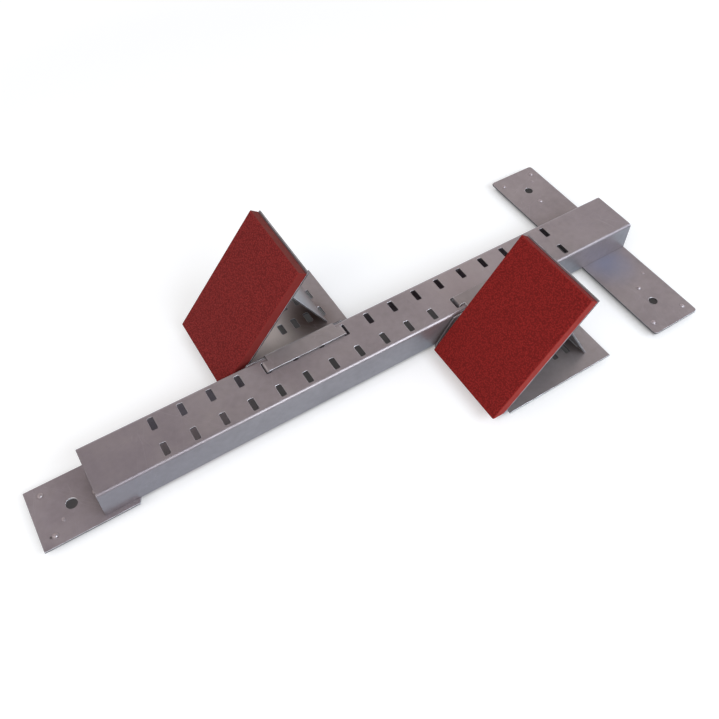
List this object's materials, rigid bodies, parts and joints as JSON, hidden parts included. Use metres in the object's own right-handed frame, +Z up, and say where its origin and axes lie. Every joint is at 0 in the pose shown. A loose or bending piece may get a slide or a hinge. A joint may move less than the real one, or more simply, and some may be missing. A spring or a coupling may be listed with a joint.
{
  "type": "starting blocks",
  "caption": "Athletics starting blocks: a slotted steel rail on spiked end plates carries hook-in foot blocks whose rubber-faced pads are tilted by struts.",
  "frame": {"origin": "middle of the footprint, at the height of the spike tips", "axes": "+X along the rail from the front plate to the rear cross plate (the runner goes the other way), +Y towards the block of the right foot, +Z up"},
  "size_m": [0.937, 0.383, 0.182],
  "materials": {
    "galvanised_steel": "dull galvanised sheet",
    "zinc_plated_steel": "zinc plated",
    "red_rubber": "matt, pebbled"
  },
  "bodies": {
    "frame": {"rail": "galvanised_steel", "front_plate": "galvanised_steel", "cross_plate": "galvanised_steel", "front_spike_1": "zinc_plated_steel", "front_spike_2": "zinc_plated_steel", "front_spike_3": "zinc_plated_steel", "rear_right_spike_1": "zinc_plated_steel", "rear_right_spike_2": "zinc_plated_steel", "rear_right_spike_3": "zinc_plated_steel", "rear_left_spike_1": "zinc_plated_steel", "rear_left_spike_2": "zinc_plated_steel", "rear_left_spike_3": "zinc_plated_steel", "front_right_weld": "galvanised_steel", "front_left_weld": "galvanised_steel", "rear_right_weld": "galvanised_steel", "rear_left_weld": "galvanised_steel"},
    "right_carrier": {"right_carrier": "galvanised_steel", "right_hinge_pin": "zinc_plated_steel"},
    "right_pad": {"right_pad_backing": "galvanised_steel", "right_rubber_pad": "red_rubber", "right_strut_bracket": "galvanised_steel", "right_strut_pin": "zinc_plated_steel"},
    "right_strut": {"right_strut": "galvanised_steel"},
    "left_carrier": {"left_carrier": "galvanised_steel", "left_hinge_pin": "zinc_plated_steel"},
    "left_pad": {"left_pad_backing": "galvanised_steel", "left_rubber_pad": "red_rubber", "left_strut_bracket": "galvanised_steel", "left_strut_pin": "zinc_plated_steel"},
    "left_strut": {"left_strut": "galvanised_steel"}
  },
  "joints": [
    {"name": "right_lift", "type": "slide", "parent": "frame", "child": "right_carrier", "axis": [0, 0, 1], "range_m": [0, 0.06]},
    {"name": "right_pad_tilt", "type": "hinge", "parent": "right_carrier", "child": "right_pad", "pos_m": [-0.17127, 0.1148, 0.0158], "axis": [0, -1, 0], "range_deg": [0, 38]},
    {"name": "right_strut_swing", "type": "hinge", "parent": "right_pad", "child": "right_strut", "pos_m": [-0.08135, 0.1207, 0.12131], "axis": [0, -1, 0], "range_deg": [0, 100]},
    {"name": "left_lift", "type": "slide", "parent": "frame", "child": "left_carrier", "axis": [0, 0, 1], "range_m": [0, 0.06]},
    {"name": "left_pad_tilt", "type": "hinge", "parent": "left_carrier", "child": "left_pad", "pos_m": [0.11173, -0.1148, 0.0158], "axis": [0, -1, 0], "range_deg": [0, 38]},
    {"name": "left_strut_swing", "type": "hinge", "parent": "left_pad", "child": "left_strut", "pos_m": [0.20165, -0.1207, 0.12131], "axis": [0, -1, 0], "range_deg": [0, 100]}
  ]
}
